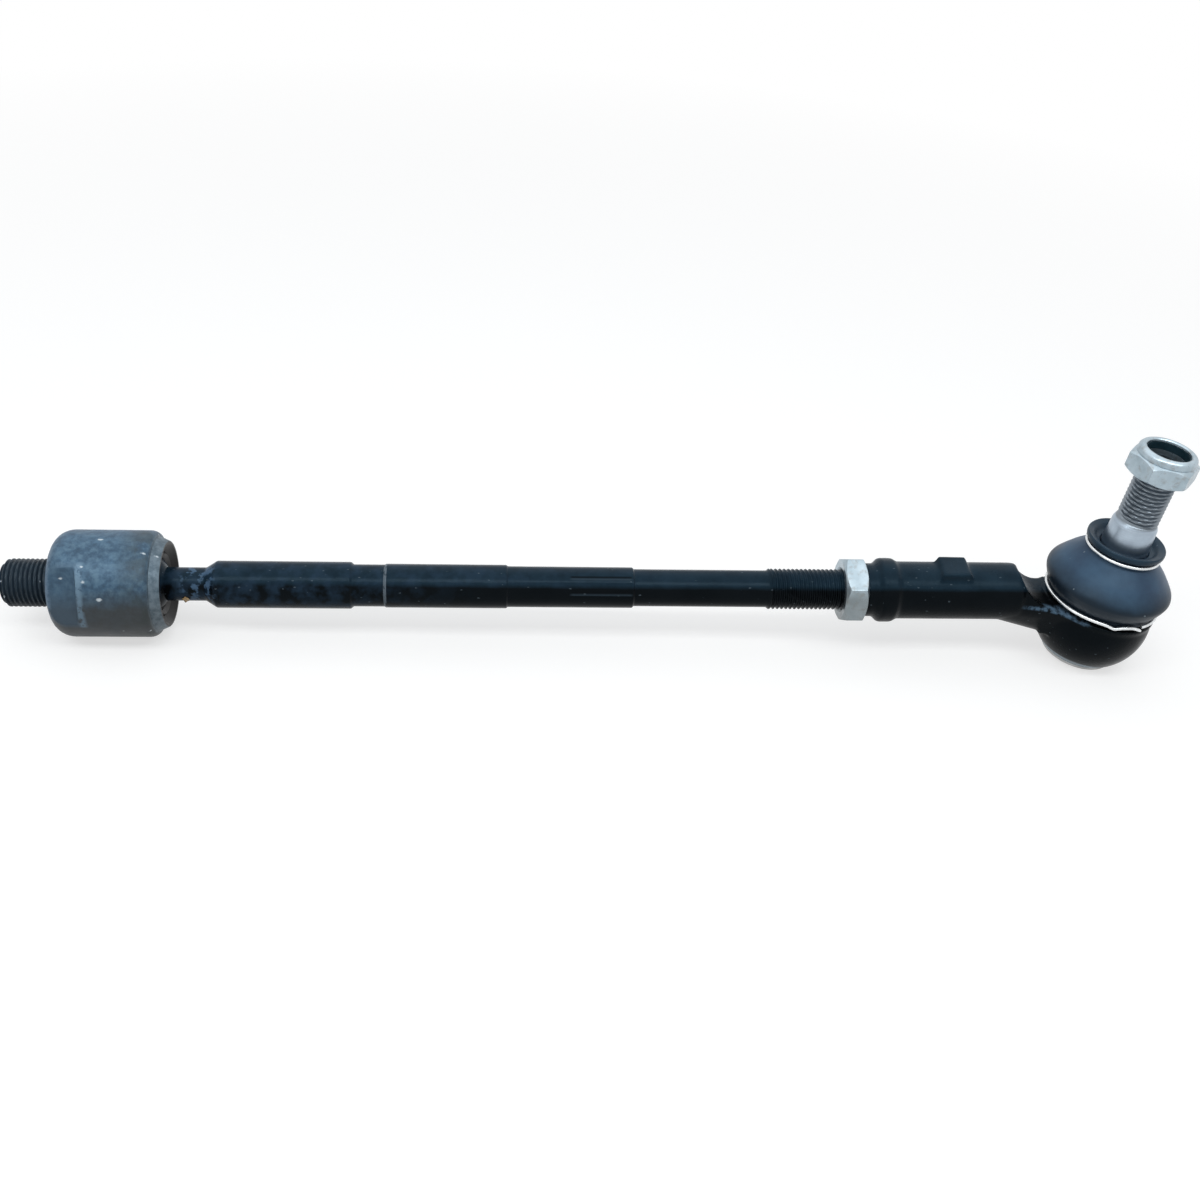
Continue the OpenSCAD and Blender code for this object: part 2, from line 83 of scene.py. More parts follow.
def new_object(name, verts, faces, matrix=None):
    """A mesh object from points and faces, with its faces turned outwards."""
    if matrix is not None:
        m = np.array(matrix)
        verts = np.asarray(verts, float) @ m[:3, :3].T + m[:3, 3]
    mesh = bpy.data.meshes.new(name)
    mesh.from_pydata([tuple(v) for v in verts], [], faces)
    bm = bmesh.new()
    bm.from_mesh(mesh)
    bmesh.ops.remove_doubles(bm, verts=bm.verts, dist=1e-7)
    bmesh.ops.recalc_face_normals(bm, faces=bm.faces)
    bm.to_mesh(mesh)
    bm.free()
    obj = bpy.data.objects.new(name, mesh)
    bpy.context.scene.collection.objects.link(obj)
    return obj


def soften(points, radius, steps=4):
    """A profile whose corners are rounded: each is cut back by the radius, or less on a short edge."""
    pts = [np.array(p, float) for p in points]
    out = [pts[0]]
    for before, here, after in zip(pts, pts[1:], pts[2:]):
        a, b = before - here, after - here
        la, lb = np.linalg.norm(a), np.linalg.norm(b)
        if la < 1e-6 or lb < 1e-6:
            continue
        cut = min(radius, 0.45 * la, 0.45 * lb)
        start, end = here + a / la * cut, here + b / lb * cut
        for i in range(steps + 1):
            t = i / steps
            out.append((1 - t) ** 2 * start + 2 * t * (1 - t) * here + t * t * end)
    out.append(pts[-1])
    return [tuple(p) for p in out]


def dense(points, step, low, high):
    """The same profile with more stations between two heights, where a thread or a flat needs them."""
    out = [points[0]]
    for a, b in zip(points, points[1:]):
        n = 1
        if min(a[0], b[0]) >= low - 1e-6 and max(a[0], b[0]) <= high + 1e-6:
            n = max(1, int(math.ceil(abs(b[0] - a[0]) / step)))
        for i in range(1, n + 1):
            t = i / n
            out.append((a[0] + (b[0] - a[0]) * t, a[1] + (b[1] - a[1]) * t))
    return out


def lathe(name, profile, matrix, segments=192, warp=None, ring=False):
    """A turned body from (height, radius) stations. warp(height, radius, angle) may change the radius."""
    theta = np.linspace(0, 2 * np.pi, segments, endpoint=False)
    verts = []
    for h, r in profile:
        radius = np.full(segments, float(r))
        if warp is not None and r > 1e-6:
            radius = warp(h, radius, theta)
        verts.append(np.stack([radius * np.cos(theta), radius * np.sin(theta), np.full(segments, float(h))], 1))
    verts = np.concatenate(verts)
    faces = []
    n = len(profile)
    for i in range(n if ring else n - 1):
        a, b = i * segments, (i + 1) % n * segments
        for j in range(segments):
            k = (j + 1) % segments
            faces.append((a + j, a + k, b + k, b + j))
    return new_object(name, verts, faces, matrix)


def smooth(obj, degrees=35):
    """Smooth shading, with edges sharper than the angle kept."""
    mesh = obj.data
    mesh.polygons.foreach_set("use_smooth", [True] * len(mesh.polygons))
    mesh.set_sharp_from_angle(angle=math.radians(degrees))
    return obj


def thread_cut(h, theta, pitch, start, end, fade=1.2):
    """How deep the thread's groove is at a height and angle, on a right-hand thread."""
    phase = np.abs(((h / pitch - theta / (2 * np.pi)) % 1.0) - 0.5) * 2
    groove = np.clip((phase - 0.12) / 0.62, 0, 1)
    ends = np.clip((h - start) / fade, 0, 1) * np.clip((end - h) / fade, 0, 1)
    return 0.6 * pitch * groove * ends


def soft_min(a, b, k):
    """The smaller of two lengths, with the corner between them rounded."""
    h = np.clip(0.5 + 0.5 * (b - a) / k, 0, 1)
    return b * (1 - h) + a * h - k * h * (1 - h)


def flat_radius(theta, normal, half):
    """The radius of a flat face at an angle, for the two opposite faces."""
    c = np.abs(np.cos(theta - normal))
    return half / np.maximum(c, 0.05)


def dress(obj, node, body, material, angle=35):
    """Smooth, paint and place a piece on its body, and hide the node it stands for, if any."""
    smooth(obj, angle)
    obj.data.materials.clear()
    obj.data.materials.append(material)
    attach(obj, body)
    if node:
        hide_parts(node)
    return obj


# Material building blocks

def start_material(name):
    """A new node material: its tree, its shader and the object coordinates."""
    mat = bpy.data.materials.new(name)
    mat.use_nodes = True
    tree = mat.node_tree
    shader = tree.nodes["Principled BSDF"]
    coords = tree.nodes.new("ShaderNodeTexCoord")
    return mat, tree, shader, coords.outputs["Object"]


def node(tree, kind, inputs=None, **settings):
    n = tree.nodes.new(kind)
    for key, value in settings.items():
        setattr(n, key, value)
    for key, value in (inputs or {}).items():
        if isinstance(value, bpy.types.NodeSocket):
            tree.links.new(value, n.inputs[key])
        else:
            n.inputs[key].default_value = value
    return n


def stretched(tree, coords, scale, rotation=(0, 0, 0)):
    return node(tree, "ShaderNodeMapping", {"Vector": coords, "Scale": scale, "Rotation": rotation}).outputs["Vector"]


def noise(tree, vector, scale, detail=4.0, rough=0.55):
    return node(tree, "ShaderNodeTexNoise", {"Vector": vector, "Scale": scale, "Detail": detail, "Roughness": rough}).outputs["Fac"]


def ramp(tree, fac, stops):
    """A colour ramp: stops are (position, colour)."""
    n = node(tree, "ShaderNodeValToRGB", {"Fac": fac})
    elements = n.color_ramp.elements
    while len(elements) < len(stops):
        elements.new(0.5)
    for element, (position, colour) in zip(elements, stops):
        element.position = position
        element.color = tuple(colour) + (1,) if len(colour) == 3 else colour
    return n.outputs["Color"]


def grey(v):
    return (v, v, v)


def mix(tree, fac, a, b):
    n = node(tree, "ShaderNodeMix", data_type="RGBA")
    for key, value in (("Factor", fac), ("A", a), ("B", b)):
        socket = [s for s in n.inputs if s.name == key and s.type == ("VALUE" if key == "Factor" else "RGBA")][0]
        if isinstance(value, bpy.types.NodeSocket):
            tree.links.new(value, socket)
        else:
            socket.default_value = value if key == "Factor" else tuple(value) + (1,)
    return [s for s in n.outputs if s.type == "RGBA"][0]


def maths(tree, operation, a, b=None):
    n = node(tree, "ShaderNodeMath", operation=operation)
    for i, value in enumerate((a, b)):
        if value is None:
            continue
        if isinstance(value, bpy.types.NodeSocket):
            tree.links.new(value, n.inputs[i])
        else:
            n.inputs[i].default_value = value
    return n.outputs[0]


def bump(tree, shader, height, strength, distance=0.0001):
    n = node(tree, "ShaderNodeBump", {"Height": height, "Strength": strength, "Distance": distance})
    tree.links.new(n.outputs["Normal"], shader.inputs["Normal"])


def rise(tree, value, low, high):
    """A mask that goes from 0 at one value to 1 at another."""
    return node(tree, "ShaderNodeMapRange", {"Value": value, "From Min": low, "From Max": high}).outputs["Result"]


def both(tree, *masks):
    """The product of masks."""
    out = masks[0]
    for m in masks[1:]:
        out = maths(tree, "MULTIPLY", out, m)
    return out


def off_axis(tree, coords):
    """How far a point lies from the rod's axis."""
    return node(tree, "ShaderNodeVectorMath", {0: stretched(tree, coords, (0, 1, 1))}, operation="LENGTH").outputs["Value"]


def along_way(tree, coords, way):
    """How far a point lies along a direction."""
    return node(tree, "ShaderNodeVectorMath", {0: coords, 1: way}, operation="DOT_PRODUCT").outputs["Value"]


def stud_height(tree, coords):
    """A point's height over the outer ball's centre, along the stud."""
    up = (math.sin(LEAN), 0, math.cos(LEAN))
    return maths(tree, "ADD", along_way(tree, coords, up), -(BALL_X * up[0] - BALL_DROP * up[2]) * MM)


def upper_side(tree, coords):
    """How far a point lies up and back from the rod's axis, the side that faces the light."""
    return along_way(tree, coords, (0, math.sin(math.radians(36)), math.cos(math.radians(36))))


def nicks(tree, coords, scale, size, share):
    """A mask of scattered short marks, each about a size of its cell, on a share of the cells."""
    skewed = node(tree, "ShaderNodeMapping", {"Vector": coords, "Scale": (1.0, 2.4, 1.6), "Rotation": (0.7, 0.3, 0.5)}).outputs["Vector"]
    cells = node(tree, "ShaderNodeTexVoronoi", {"Vector": skewed, "Scale": scale})
    ragged = maths(tree, "ADD", cells.outputs["Distance"], maths(tree, "MULTIPLY", noise(tree, coords, scale * 7, 2), size * 1.5))
    spot = rise(tree, ragged, size * 1.75, size * 1.35)
    chosen = rise(tree, axis_value(tree, cells.outputs["Color"], "X"), 1 - share, 1.02 - share)
    return both(tree, spot, chosen)


def axis_value(tree, coords, axis):
    return node(tree, "ShaderNodeSeparateXYZ", {"Vector": coords}).outputs[axis]


def black_paint():
    """Glossy black dip paint over a forging: slight orange peel, a painted blue sky reflection on the upper side and
    the rod's left end, painted highlights on a grease smear and on edges, painted shade on the rod's flats, a paler
    line round a step, bare metal with a painted reflection at the bowl's rim, and nicks.
    """
    mat, tree, shader, co = start_material("black_paint")
    x = axis_value(tree, co, "X")
    colour = ramp(tree, noise(tree, co, 90, 5), [(0.3, (0.0012, 0.0014, 0.0018)), (0.7, (0.0030, 0.0036, 0.0046))])
    # Painted reflection: the upper side is tinted blue, as if it mirrored the sky, with noise.
    sky_sheen = rise(tree, maths(tree, "ADD", upper_side(tree, co), maths(tree, "MULTIPLY", noise(tree, co, 120, 3), 0.001)), -0.0002, 0.0012)
    sky_tint = ramp(tree, noise(tree, co, 140, 5), [(0.3, (0.0065, 0.0170, 0.0280)), (0.7, (0.0130, 0.0300, 0.0470))])
    colour = mix(tree, maths(tree, "MULTIPLY", sky_sheen, 0.9), colour, sky_tint)
    # Painted reflection: blue patches on the upper side of the rod's left part, and all round its end by the housing.
    left = maths(tree, "MAXIMUM", sky_sheen, rise(tree, x, 0.14, 0.08))
    blue = both(tree, rise(tree, x, 0.235, 0.10), rise(tree, noise(tree, co, 210, 5), 0.42, 0.62), left)
    colour = mix(tree, maths(tree, "MULTIPLY", blue, 0.7), colour, (0.020, 0.040, 0.068))
    # A grease smear on the neck, painted as a bluish highlight.
    smear = both(tree, rise(tree, x, 0.0395, 0.043), rise(tree, x, 0.0535, 0.051), rise(tree, noise(tree, co, 330, 5), 0.50, 0.58))
    colour = mix(tree, maths(tree, "MULTIPLY", smear, 0.75), colour, (0.085, 0.150, 0.240))
    step = both(tree, rise(tree, x, 0.10735, 0.10750), rise(tree, x, 0.10850, 0.10835), rise(tree, noise(tree, co, 500, 3), 0.35, 0.48))
    colour = mix(tree, maths(tree, "MULTIPLY", step, 0.8), colour, (0.15, 0.18, 0.21))
    colour = mix(tree, maths(tree, "MULTIPLY", nicks(tree, co, 330, 0.16, 0.35), 0.35), colour, (0.16, 0.20, 0.23))
    way = math.radians(180 - 36)
    out = along_way(tree, co, (0, math.cos(way), math.sin(way)))
    # Painted shade: the rod's wrench flats are darkened.
    on_flats = both(tree, rise(tree, x, 0.1694, 0.1706), rise(tree, x, 0.1913, 0.1901))
    flat = both(tree, on_flats, rise(tree, out, 0.0058, 0.0060), rise(tree, out, 0.00632, 0.00624))
    colour = mix(tree, maths(tree, "MULTIPLY", flat, 0.8), colour, (0.0008, 0.0016, 0.0022))
    # Painted highlight along the run-out edges of the flats.
    flat_edge_highlight = both(tree, on_flats, rise(tree, out, 0.00624, 0.00632), rise(tree, out, 0.00662, 0.00648))
    colour = mix(tree, maths(tree, "MULTIPLY", flat_edge_highlight, 0.6), colour, (0.035, 0.052, 0.068))
    height = stud_height(tree, co)
    # Painted highlight: bluish glints along the front edge of the web above the turned-down floor, broken up by noise.
    glint_breakup = rise(tree, noise(tree, co, 420, 4), 0.40, 0.55)
    web_edge_glint = both(tree, rise(tree, height, 0.0046, 0.0052), rise(tree, height, 0.0066, 0.0060), rise(tree, x, 0.325, 0.329),
                      rise(tree, x, 0.349, 0.345), rise(tree, axis_value(tree, co, "Y"), -0.0062, -0.0080), glint_breakup)
    colour = mix(tree, maths(tree, "MULTIPLY", web_edge_glint, 0.8), colour, (0.11, 0.18, 0.26))
    # Grey bare metal on the bowl's lower rim, partly worn paint and partly a painted reflection, kept to the side
    # towards the rod where the light falls.
    rim_wear_and_glint = both(tree, rise(tree, height, -0.0120, -0.0130), rise(tree, x, 0.362, 0.354), rise(tree, x, 0.330, 0.334))
    colour = mix(tree, maths(tree, "MULTIPLY", rim_wear_and_glint, 0.9), colour, (0.36, 0.37, 0.38))
    tree.links.new(colour, shader.inputs["Base Color"])
    tree.links.new(maths(tree, "MULTIPLY", rim_wear_and_glint, 0.35), shader.inputs["Metallic"])
    rough = ramp(tree, noise(tree, co, 160, 6), [(0.3, grey(0.15)), (0.75, grey(0.27))])
    rough = maths(tree, "ADD", rough, maths(tree, "MULTIPLY", rise(tree, x, 0.2375, 0.239), 0.08))
    tree.links.new(rough, shader.inputs["Roughness"])
    shader.inputs["Specular IOR Level"].default_value = 0.075
    shader.inputs["Specular Tint"].default_value = (0.60, 0.84, 1.0, 1)
    peel = maths(tree, "ADD", noise(tree, co, 700, 3), maths(tree, "MULTIPLY", noise(tree, co, 160, 2), 1.4))
    bump(tree, shader, peel, 0.5, 0.00008)
    return mat


def phosphate():
    """Blue phosphate on the inner housing: painted shade on its underside and inside, painted highlights on its end
    edge and on the flats' run-out fillet, brushed band at its mouth, pale nicks.
    """
    mat, tree, shader, co = start_material("phosphate")
    x = axis_value(tree, co, "X")
    cloud = noise(tree, co, 150, 6, 0.62)
    mottle = noise(tree, co, 420, 8, 0.68)
    colour = ramp(tree, cloud, [(0.34, (0.040, 0.086, 0.142)), (0.66, (0.068, 0.138, 0.215))])
    colour = mix(tree, maths(tree, "MULTIPLY", rise(tree, mottle, 0.46, 0.62), 0.65), colour, (0.115, 0.200, 0.270))
    colour = mix(tree, maths(tree, "MULTIPLY", rise(tree, mottle, 0.48, 0.34), 0.55), colour, (0.022, 0.045, 0.072))
    # Painted shade: the underside is darkened and greyed.
    underside_shade = rise(tree, maths(tree, "ADD", upper_side(tree, co), maths(tree, "MULTIPLY", cloud, 0.005)), 0.0005, -0.0065)
    colour = mix(tree, maths(tree, "MULTIPLY", underside_shade, 0.88), colour, (0.044, 0.045, 0.043))
    olive = both(tree, rise(tree, x, 0.022, 0.029), rise(tree, x, 0.0338, 0.0325), rise(tree, cloud, 0.38, 0.55))
    colour = mix(tree, maths(tree, "MULTIPLY", olive, 0.6), colour, (0.034, 0.042, 0.040))
    way = math.radians(180 - 19)
    faced = rise(tree, along_way(tree, co, (0, math.cos(way), math.sin(way))), 0.0138, 0.0146)
    # Painted highlight: a pale band on the run-out fillet of the front flat.
    fillet = both(tree, rise(tree, x, 0.0100, 0.0112), rise(tree, x, 0.0134, 0.0122), faced, rise(tree, mottle, 0.36, 0.50))
    colour = mix(tree, maths(tree, "MULTIPLY", fillet, 0.65), colour, (0.19, 0.29, 0.38))
    flat = both(tree, faced, rise(tree, x, 0.0112, 0.0104))
    colour = mix(tree, maths(tree, "MULTIPLY", flat, 0.45), colour, (0.055, 0.100, 0.150))
    # Painted highlight: a pale band round the end edge next to the stud.
    edge = both(tree, rise(tree, x, 0.0024, 0.0010), rise(tree, x, -0.0003, 0.0001), rise(tree, mottle, 0.38, 0.54))
    colour = mix(tree, maths(tree, "MULTIPLY", edge, 0.70), colour, (0.18, 0.25, 0.34))
    band = rise(tree, x, 0.0328, 0.0333)
    colour = mix(tree, maths(tree, "MULTIPLY", band, 0.8), colour, ramp(tree, mottle, [(0.35, (0.07, 0.10, 0.12)), (0.6, (0.16, 0.20, 0.23))]))
    stud = rise(tree, x, 0.0, -0.0004)
    colour = mix(tree, maths(tree, "MULTIPLY", stud, 0.9), colour, (0.016, 0.026, 0.036))
    colour = mix(tree, maths(tree, "MULTIPLY", nicks(tree, co, 135, 0.15, 0.42), 0.9), colour, (0.60, 0.66, 0.70))
    # Painted shade: the hollow inside is near black and not metallic.
    inside = both(tree, rise(tree, off_axis(tree, co), 0.01435, 0.01405), rise(tree, x, 0.008, 0.009))
    colour = mix(tree, inside, colour, (0.004, 0.004, 0.005))
    tree.links.new(colour, shader.inputs["Base Color"])
    metal = both(tree, maths(tree, "ADD", maths(tree, "MULTIPLY", band, 0.3), 0.2), rise(tree, inside, 1, 0))
    tree.links.new(metal, shader.inputs["Metallic"])
    rough = ramp(tree, cloud, [(0.25, grey(0.38)), (0.8, grey(0.55))])
    tree.links.new(rough, shader.inputs["Roughness"])
    shader.inputs["Specular IOR Level"].default_value = 0.3
    rings = noise(tree, stretched(tree, co, (40, 1, 1)), 60, 3)
    bump(tree, shader, maths(tree, "ADD", mottle, maths(tree, "MULTIPLY", rings, 0.4)), 0.45, 0.00012)
    return mat


def zinc():
    """Bright blue-white zinc on the two nuts, with brown smears, and painted shade on the jam nut's lower facets."""
    mat, tree, shader, co = start_material("zinc")
    cloud = noise(tree, co, 220, 5)
    colour = ramp(tree, cloud, [(0.3, (0.32, 0.40, 0.45)), (0.7, (0.46, 0.55, 0.61))])
    smear = rise(tree, noise(tree, co, 420, 5), 0.52, 0.66)
    colour = mix(tree, maths(tree, "MULTIPLY", smear, 0.45), colour, (0.24, 0.23, 0.21))
    # Painted shade: the jam nut's lower facets are darkened.
    low = both(tree, rise(tree, axis_value(tree, co, "X"), 0.30, 0.29), rise(tree, upper_side(tree, co), 0.0010, -0.0035))
    colour = mix(tree, maths(tree, "MULTIPLY", low, 0.6), colour, (0.13, 0.13, 0.12))
    tree.links.new(colour, shader.inputs["Base Color"])
    shader.inputs["Metallic"].default_value = 0.85
    rough = ramp(tree, noise(tree, co, 900, 4), [(0.3, grey(0.26)), (0.8, grey(0.40))])
    tree.links.new(rough, shader.inputs["Roughness"])
    bump(tree, shader, noise(tree, co, 1300, 4), 0.3, 0.00006)
    return mat


def ground_steel():
    """The stud's ground taper and darker rolled thread, with painted shade on its end."""
    mat, tree, shader, co = start_material("ground_steel")
    height = stud_height(tree, co)
    on_thread = rise(tree, height, 0.0394, 0.0399)
    lines = noise(tree, stretched(tree, co, (30, 30, 3000), (0, LEAN, 0)), 1.0, 3)
    colour = ramp(tree, noise(tree, co, 160, 5), [(0.3, (0.24, 0.30, 0.37)), (0.7, (0.38, 0.46, 0.54))])
    colour = mix(tree, maths(tree, "MULTIPLY", lines, 0.3), colour, (0.70, 0.76, 0.82))
    colour = mix(tree, on_thread, colour, (0.20, 0.23, 0.26))
    # Painted shade: the stud's end inside the nut is near black.
    colour = mix(tree, rise(tree, height, 0.0608, 0.0614), colour, (0.012, 0.020, 0.026))
    tree.links.new(colour, shader.inputs["Base Color"])
    shader.inputs["Metallic"].default_value = 1.0
    rough = ramp(tree, lines, [(0.2, grey(0.24)), (0.8, grey(0.40))])
    tree.links.new(rough, shader.inputs["Roughness"])
    bump(tree, shader, lines, 0.2, 0.00003)
    return mat


def bright_wire():
    """Bright drawn wire with a few dull spots."""
    mat, tree, shader, co = start_material("bright_wire")
    colour = ramp(tree, noise(tree, co, 500, 4), [(0.3, (0.60, 0.62, 0.63)), (0.7, (0.85, 0.87, 0.88))])
    tree.links.new(colour, shader.inputs["Base Color"])
    shader.inputs["Metallic"].default_value = 0.9
    rough = ramp(tree, noise(tree, co, 900, 3), [(0.3, grey(0.20)), (0.8, grey(0.34))])
    tree.links.new(rough, shader.inputs["Roughness"])
    bump(tree, shader, noise(tree, co, 2000, 3), 0.1, 0.00003)
    return mat


def cover_steel():
    """Dull plated plate under the bowl."""
    mat, tree, shader, co = start_material("cover_steel")
    colour = ramp(tree, noise(tree, co, 260, 5), [(0.3, (0.40, 0.40, 0.40)), (0.7, (0.58, 0.58, 0.57))])
    tree.links.new(colour, shader.inputs["Base Color"])
    shader.inputs["Metallic"].default_value = 0.6
    rough = ramp(tree, noise(tree, co, 600, 4), [(0.3, grey(0.36)), (0.8, grey(0.55))])
    tree.links.new(rough, shader.inputs["Roughness"])
    bump(tree, shader, noise(tree, co, 1500, 3), 0.2, 0.00004)
    return mat


def boot_rubber():
    """Satin blue-black rubber with a pale surface film and pale specks, and painted shade over its lower part."""
    mat, tree, shader, co = start_material("boot_rubber")
    cloud = noise(tree, co, 70, 5)
    colour = ramp(tree, cloud, [(0.3, (0.032, 0.054, 0.094)), (0.7, (0.054, 0.104, 0.168))])
    height = stud_height(tree, co)
    # Painted shade: darker towards the bottom of the boot, with a cloudy edge.
    low_shade = rise(tree, maths(tree, "ADD", height, maths(tree, "MULTIPLY", cloud, 0.004)), 0.0235, 0.0175)
    colour = mix(tree, maths(tree, "MULTIPLY", low_shade, 0.88), colour, (0.009, 0.013, 0.018))
    lip = rise(tree, height, 0.0285, 0.0292)
    colour = mix(tree, maths(tree, "MULTIPLY", lip, 0.75), colour, (0.010, 0.022, 0.032))
    colour = mix(tree, maths(tree, "MULTIPLY", nicks(tree, co, 210, 0.12, 0.3), 0.6), colour, (0.30, 0.36, 0.40))
    tree.links.new(colour, shader.inputs["Base Color"])
    rough = ramp(tree, noise(tree, co, 240, 5), [(0.3, grey(0.36)), (0.8, grey(0.48))])
    tree.links.new(rough, shader.inputs["Roughness"])
    shader.inputs["Specular IOR Level"].default_value = 0.22
    shader.inputs["Specular Tint"].default_value = (0.62, 0.84, 1.0, 1)
    bump(tree, shader, noise(tree, co, 1400, 4), 0.3, 0.00005)
    return mat


def plastic(name, low, high, rough_low, rough_high):
    """A moulded plastic with a faint mottle."""
    mat, tree, shader, co = start_material(name)
    tree.links.new(ramp(tree, noise(tree, co, 300, 4), [(0.3, low), (0.7, high)]), shader.inputs["Base Color"])
    rough = ramp(tree, noise(tree, co, 700, 3), [(0.3, grey(rough_low)), (0.8, grey(rough_high))])
    tree.links.new(rough, shader.inputs["Roughness"])
    bump(tree, shader, noise(tree, co, 1500, 3), 0.15, 0.00004)
    return mat


def dark_spring():
    """Oiled dark spring steel of the inner discs."""
    mat, tree, shader, co = start_material("dark_spring")
    colour = ramp(tree, noise(tree, co, 300, 4), [(0.3, (0.06, 0.06, 0.065)), (0.7, (0.12, 0.12, 0.125))])
    tree.links.new(colour, shader.inputs["Base Color"])
    shader.inputs["Metallic"].default_value = 0.9
    rough = ramp(tree, noise(tree, co, 800, 3), [(0.3, grey(0.3)), (0.8, grey(0.5))])
    tree.links.new(rough, shader.inputs["Roughness"])
    return mat


def grease():
    """Amber grease at the housing's mouth."""
    mat, tree, shader, co = start_material("grease")
    tree.links.new(ramp(tree, noise(tree, co, 500, 4), [(0.3, (0.42, 0.25, 0.10)), (0.7, (0.62, 0.44, 0.24))]), shader.inputs["Base Color"])
    rough = ramp(tree, noise(tree, co, 900, 3), [(0.3, grey(0.18)), (0.8, grey(0.32))])
    tree.links.new(rough, shader.inputs["Roughness"])
    shader.inputs["Transmission Weight"].default_value = 0.25
    shader.inputs["IOR"].default_value = 1.47
    bump(tree, shader, noise(tree, co, 700, 4), 0.4, 0.0001)
    return mat


BLACK = black_paint()
PHOSPHATE = phosphate()
ZINC = zinc()
STEEL = ground_steel()
WIRE = bright_wire()
COVER = cover_steel()
RUBBER = boot_rubber()
ACETAL = plastic("acetal", (0.006, 0.006, 0.007), (0.012, 0.012, 0.013), 0.4, 0.55)
GREASE = grease()
NYLON = plastic("nylon", (0.006, 0.020, 0.028), (0.012, 0.036, 0.050), 0.3, 0.45)
SPRING = dark_spring()


# Inner joint housing, with its rack stud

def inner_housing():
    """The turned housing: threaded stud, rounded shoulder, two flats, rolled mouth and hollow inside."""
    r, flats_end, flat_half, flat_normal = 17.8, 10.9, 15.0, math.radians(180 - 19)
    shoulder_r, shoulder_l = 5.6, 6.4
    shoulder = [(shoulder_l * (1 - math.cos(a)), r - shoulder_r * (1 - math.sin(a))) for a in np.radians(np.arange(9, 91, 9))]
    roll = [(30.3 + 2.9 * math.sin(a), r - 2.0 * (1 - math.cos(a))) for a in np.radians(np.arange(0, 91, 10))]
    cavity_r, lip_r, ball_x = 14.6, 11.0, 24.5
    lip_angle = math.asin(lip_r / cavity_r)
    cavity = [(ball_x + cavity_r * math.cos(a), cavity_r * math.sin(a)) for a in np.linspace(lip_angle, math.pi, 28)]
    stud = dense([(-16.8, 6.4), (-15.2, 8.0), (-0.05, 8.0)], 0.13, -17, 0)
    body = dense([shoulder[-1], (flats_end + 1.6, r)], 0.25, 0, 13)
    outline = ([(-16.8, 0)] + stud + [(0, 8.05), (0, 12.0)] + shoulder[:-1] + body + roll
               + [(36.1, 14.45), (36.3, 14.25), (36.3, 13.5), (36.15, 13.35)] + cavity)

    def warp(h, radius, theta):
        if h < 0:
            return radius - thread_cut(h, theta, STUD_PITCH, -17.5, -0.2)
        if h <= flats_end + 1.6 and radius[0] > 12:
            lift = max(0.0, h - (flats_end - 1.2)) / 1.2
            half = flat_half + 2.9 * (1 - math.sqrt(max(0.0, 1 - min(1.0, lift) ** 2)))
            return soft_min(radius, flat_radius(theta, flat_normal, half), 0.12)
        return radius
    return lathe("inner_housing_body", outline, ON_ROD, 288, warp)


dress(inner_housing(), "inner_housing", "inner_joint", PHOSPHATE, 30)


# Rod

def tie_rod():
    """The forging with ball, neck, steps, bellows groove, wrench flats and adjusting thread."""
    ball_x, ball_r, neck_r = 24.5, 12.5, 5.6
    angle = math.asin(neck_r / ball_r)
    ball = [(ball_x + ball_r * math.cos(a), ball_r * math.sin(a)) for a in np.linspace(math.pi, angle, 30)]
    steps = [(ball[-1][0], neck_r), (48.5, neck_r), (52.1, 7.9), (96.3, 7.9), (97.1, 7.1), (107.5, 7.1), (107.9, 7.4),
             (148.4, 7.4), (148.8, 6.95), (191.3, 6.95), (191.7, 6.35), (237.7, 6.35), (238.5, 7.0)]
    thread = [(238.5, 7.0), (300.9, 7.0), (302.1, 5.8)]
    flats = (171.8, 188.9, 2.8)
    turned = soften(steps, 0.35, 3)
    turned = dense(turned, 0.35, flats[0] - flats[2] - 1, flats[1] + flats[2] + 1)
    outline = ball[:-1] + turned + dense(thread, 0.17, 238, 303)[1:] + [(302.1, 0)]

    def warp(h, radius, theta):
        if h > 238.6:
            return radius - 0.65 * thread_cut(h, theta, STUD_PITCH, 238.3, 303)
        ramp_up = max(flats[0] - h, h - flats[1], 0) / flats[2]
        if ramp_up < 1.2:
            half = 6.2 + ramp_up * 0.75
            return soft_min(radius, flat_radius(theta, math.radians(180 - 36), half), 0.04)
        return radius
    return lathe("tie_rod_body", outline, ON_ROD, 176, warp)


dress(tie_rod(), "tie_rod", "tie_rod", BLACK, 30)


# Hexagon nuts

def hex_radius(theta, flats, phase, corner=0.35):
    """The radius of a hexagon with slightly rounded corners."""
    power = 40.0 / max(corner, 0.05)
    total = 0
    for k in range(6):
        c = np.cos(theta - phase - math.radians(30 + 60 * k))
        total = total + np.where(c > 0, np.abs(c) / (flats / 2), 0) ** power
    return total ** (-1 / power)


